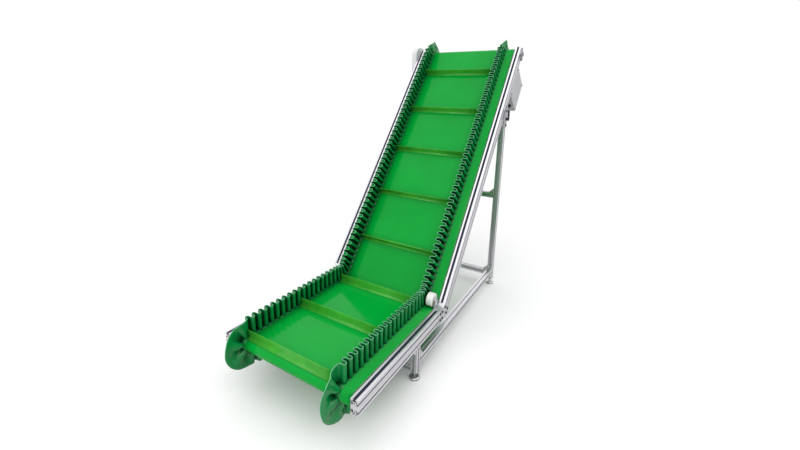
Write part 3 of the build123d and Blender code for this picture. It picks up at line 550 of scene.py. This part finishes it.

# %% [markdown]
# ### Moulded sidewalls and cleats
# The webs are a darker green PVC with a shine from the polished mould, and shade is painted
# nearly black deep between the flutes. Their edges get a paler green as a painted highlight.
# The cleats are extruded from a yellower green, with shade painted in near their feet.

# %% Sidewall and cleat PVC
# Painted shade: the web green goes nearly black where the flutes close in on one another.
wall_pvc = surface("moulded_sidewall_PVC", "#057636", "#0A8843", 90.0, (0.08, 0.16), 2.0, 0.01,
                   ior=1.52, painted_shade=("#003018", 34.0), Specular_IOR_Level=0.45)
# Painted highlight: the rim faces of the webs, which show as their top edges, get a paler green
# that stands in for the light they catch.
wall_edge_highlight = surface("sidewall_rim_painted_highlight", "#5CC08C", "#86D6A8", 30.0, (0.30, 0.42), 2.0, 0.02,
                    ior=1.52)
# Painted shade: the cleat green darkens towards a deeper green near its foot and the belt.
cleat_pvc = surface("extruded_cleat_PVC", "#36A62D", "#4DB83C", 120.0, (0.14, 0.24), 1.5, 0.01,
                    ior=1.52, painted_shade=("#0A7A2A", 26.0), Specular_IOR_Level=0.35)
for piece_kind in ("fluted_sidewall_", "sidewall_foot_"):
    for label in ("left", "right"):
        piece = bpy.data.objects[piece_kind + label]
        piece.data.materials.append(wall_pvc)
        piece.data.materials.append(wall_edge_highlight)
cleats.data.materials.append(cleat_pvc)

# %% [markdown]
# ### Anodised extrusion
# Extruded aluminium carries fine lines along its length from the die, under a clear matt
# anodised skin. The lines must follow each bar, so one material is made for each
# direction that bars run in, with the noise stretched along it.

# %% Anodised aluminium for each direction
DIE_LINE = 50.0
anodised = {}
for word, stretch, turn in (
    ("along", (1.0, DIE_LINE, 1.0), (0.0, 0.0, 0.0)),
    ("across", (DIE_LINE, 1.0, 1.0), (0.0, 0.0, 0.0)),
    ("upright", (1.0, 1.0, DIE_LINE), (0.0, 0.0, 0.0)),
    ("sloping", (1.0, DIE_LINE, 1.0), (SLOPE, 0.0, 0.0)),
):
    # Painted shade: a dark navy grey is laid into the T-slots and inner corners of the bars.
    anodised[word] = surface("anodised_aluminium_" + word, "#E4E2E8", "#F2F1F6", 14.0,
                             (0.30, 0.40), 1.2, 0.012, metallic=1.0, stretch=stretch,
                             turn=turn, painted_shade=("#2E3444", 9.0))

# %% [markdown]
# ### The other finishes
# Each is named for what the part is really made of. Cast aluminium is grainy and bright,
# zinc plate has a cloudy spangle, ground steel is smooth, powder coat has orange peel,
# turned nylon is milky, and moulded black plastic is finely textured.

# %% Metals, paints and plastics
# Most finishes below also get painted shade in their corners and recesses; this grey is its tone
# on the bright metals.
CORNER_SHADE = "#4A4B4C"
cast_aluminium = surface("tumbled_cast_aluminium", "#C4C5C8", "#EDEDEF", 5.0, (0.30, 0.50),
                         1.6, 0.08, metallic=1.0, painted_shade=(CORNER_SHADE, 6.0), worn=("#FFFFFF", 0.7))
zinc_plate = surface("zinc_plated_steel", "#B4B6B9", "#CFD1D3", 9.0, (0.28, 0.42), 0.9, 0.02,
                     metallic=1.0, painted_shade=(CORNER_SHADE, 6.0), worn=("#E8E9EA", 0.6))
ground_steel = surface("ground_shaft_steel", "#9A9B9E", "#B4B5B8", 12.0, (0.18, 0.28), 0.6, 0.01,
                       metallic=1.0, stretch=(0.16, 1.0, 1.0), painted_shade=(CORNER_SHADE, 5.0))
turned_steel = surface("turned_drum_steel", "#8D8F92", "#A6A8AA", 10.0, (0.28, 0.40), 0.8, 0.02,
                       metallic=1.0, stretch=(0.12, 1.0, 1.0))
black_oxide = surface("black_oxide_steel", "#34363A", "#4A4D52", 6.0, (0.30, 0.42), 0.8, 0.02,
                      metallic=1.0, painted_shade=("#08090A", 3.0), worn=("#9A9CA0", 0.5))
bearing_casting = surface("nickel_plated_casting", "#A8AAAD", "#D2D3D5", 4.0, (0.30, 0.46), 1.4,
                          0.07, metallic=1.0, painted_shade=(CORNER_SHADE, 6.0), worn=("#F0F0F0", 0.7))
slot_rubber = surface("slot_cover_rubber", "#161C2C", "#20283A", 20.0, (0.50, 0.65), 1.5, 0.02,
                      Specular_IOR_Level=0.25)
white_nylon = surface("turned_white_nylon", "#E4E4DE", "#F2F2EE", 30.0, (0.34, 0.44), 0.7, 0.02,
                      ior=1.53, stretch=(0.25, 1.0, 1.0), painted_shade=("#A9AAA2", 6.0),
                      Subsurface_Weight=0.08, Subsurface_Scale=0.004)
black_plastic = surface("moulded_black_nylon", "#141517", "#1E1F21", 8.0, (0.42, 0.54), 0.9,
                        0.05, ior=1.53, worn=("#3A3B3D", 0.5))
white_coat = surface("white_powder_coat", "#DFE0E2", "#EAEBEC", 60.0, (0.30, 0.40), 2.2, 0.03,
                     painted_shade=("#9C9D9E", 8.0), worn=("#B5B7B9", 0.8))
grey_coat = surface("grey_powder_coat", "#ACAEB1", "#B2B4B6", 60.0, (0.34, 0.46), 2.2, 0.03,
                    painted_shade=("#6E7073", 8.0), worn=("#D8D9DA", 0.8))
motor_enamel = surface("motor_enamel", "#4A5056", "#59606A", 30.0, (0.30, 0.45), 2.5, 0.05,
                       painted_shade=("#24272A", 9.0), worn=("#8C9094", 0.7))
grille.data.materials.append(black_plastic)

# %% [markdown]
# ## Which part gets which finish
# The model's material slots group the parts by finish. Bars also need to know which way
# they run, so those are listed by name.

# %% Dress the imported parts
by_slot = {
    "cast_aluminium": cast_aluminium, "zinc_steel": zinc_plate, "bright_steel": ground_steel,
    "drum_steel": turned_steel, "black_oxide": black_oxide, "white_nylon": white_nylon,
    "black_plastic": black_plastic, "white_paint": white_coat, "grey_paint": grey_coat,
    "motor_paint": motor_enamel, "bearing_casting": bearing_casting, "slot_rubber": slot_rubber,
    "belt_green": pvc_cover, "sidewall_green": wall_pvc, "cleat_green": cleat_pvc,
}
runs = {"rail_lower": "along", "long_bars": "along", "crossbars": "across",
        "cross_ties": "across", "leg_": "upright", "rail_upper": "sloping"}
for entry in frame["record"]["subparts"]:
    part = frame["nodes"][entry["node"]]
    chosen = by_slot.get(entry["material_slot"])
    for start, way in runs.items():
        if entry["node"].startswith(start):
            chosen = anodised[way]
    part.data.materials.clear()
    part.data.materials.append(chosen)

# %% [markdown]
# ## Floor
# The floor is a sheet of white studio paper. The camera sees it white, but it throws back
# only part of the light, as paper on a dark table does, so the undersides of the
# conveyor stay darker than its tops and the metal has something dark to mirror.

# %% Studio floor
BELOW_FEET = 0.0005
bpy.ops.mesh.primitive_plane_add(size=60.0, location=(0, 0, -BELOW_FEET))
floor = bpy.context.object
floor.name = "studio_floor"
paper = bpy.data.materials.new("studio_paper")
paper.use_nodes = True
tree = paper.node_tree
tree.nodes.clear()
fibre = add(tree, "TexNoise", Vector=add(tree, "TexCoord").outputs["Object"], Scale=per_mm(3.0))
relief = add(tree, "Bump", Height=fibre.outputs["Fac"], Strength=1.0, Distance=0.00002)
seen = add(tree, "BsdfDiffuse", Color=linear("#F7F7F7"), Normal=relief.outputs["Normal"])
thrown_back = add(tree, "BsdfDiffuse", Color=linear("#D0D0D0"))
ray = add(tree, "LightPath")
sheet = add(tree, "MixShader", i0=ray.outputs["Is Camera Ray"],
            i1=thrown_back.outputs["BSDF"], i2=seen.outputs["BSDF"])
add(tree, "OutputMaterial", Surface=sheet.outputs["Shader"])
floor.data.materials.append(paper)

# %% [markdown]
# ## Light
# The room is a big soft tent, brightest overhead and dimmer towards the floor, with white
# paper behind the object. Three broad panels add a gentle direction, mostly from the front.

# %% Light tent and panels
WHITE = (1.0, 1.0, 1.0, 1.0)
TENT_LOW, TENT_HIGH = 0.72, 1.26
world = bpy.data.worlds.new("studio")
bpy.context.scene.world = world
world.use_nodes = True
tree = world.node_tree
tree.nodes.clear()
height = add(tree, "SeparateXYZ", Vector=add(tree, "TexCoord").outputs["Generated"]).outputs["Z"]
tent = add(tree, "MapRange", Value=height, From_Min=0.0, From_Max=1.0, To_Min=TENT_LOW,
           To_Max=TENT_HIGH)
lit = add(tree, "Background", Color=WHITE, Strength=tent.outputs["Result"])
backdrop = add(tree, "Background", Color=WHITE, Strength=1.0)
ray = add(tree, "LightPath")
room = add(tree, "MixShader", i0=ray.outputs["Is Camera Ray"], i1=lit.outputs["Background"],
           i2=backdrop.outputs["Background"])
add(tree, "OutputWorld", Surface=room.outputs["Shader"])


def soft_light(name, place, aim, size, watts):
    data = bpy.data.lights.new(name, "AREA")
    data.shape = "RECTANGLE"
    data.size, data.size_y = size
    data.energy = watts
    lamp = bpy.data.objects.new(name, data)
    bpy.context.collection.objects.link(lamp)
    lamp.location = place
    lamp.rotation_euler = (Vector(aim) - Vector(place)).to_track_quat("-Z", "Y").to_euler()


soft_light("overhead", (-0.6, -0.8, 4.6), (0.0, 0.0, 0.6), (3.0, 3.0), 8.0)
soft_light("front_fill", (0.6, -4.2, 2.4), (0.0, -0.3, 0.6), (2.6, 2.0), 40.0)
soft_light("side_fill", (4.0, 0.5, 2.0), (0.0, 0.2, 0.8), (2.4, 2.4), 20.0)

# %% [markdown]
# ## Camera
# It stands close with a short lens, which is why the near end looks so wide. Its place is
# measured from the middle of the rails, at their front ends, and it is turned to the left,
# tilted a little down and rolled by one degree.

# %% Camera
HALF_SPAN = 0.425
EYE = (1.2005, -1.0307, 1.4765)
TURNED, TILTED, ROLLED = (math.radians(angle) for angle in (31.374, -13.727, 1.0))
middle_x, front_y = rail_high[0] - HALF_SPAN, rail_low[1]
level = math.cos(TILTED)
ahead = Vector((-math.sin(TURNED) * level, math.cos(TURNED) * level, math.sin(TILTED)))
flat_right = ahead.cross(Vector((0, 0, 1))).normalized()
flat_up = flat_right.cross(ahead)
right = flat_right * math.cos(ROLLED) + flat_up * math.sin(ROLLED)
up = flat_up * math.cos(ROLLED) - flat_right * math.sin(ROLLED)
lens = bpy.data.cameras.new("camera")
lens.sensor_width = 36.0
lens.lens = 17.17
lens.shift_x = 0.0084
lens.shift_y = -0.0483
lens.clip_end = 200.0
camera = bpy.data.objects.new("camera", lens)
bpy.context.collection.objects.link(camera)
camera.matrix_world = Matrix((
    (right.x, up.x, -ahead.x, EYE[0] + middle_x),
    (right.y, up.y, -ahead.y, EYE[1] + front_y),
    (right.z, up.z, -ahead.z, EYE[2]),
    (0, 0, 0, 1),
))
bpy.context.scene.camera = camera
bpy.context.scene.view_settings.view_transform = "Standard"
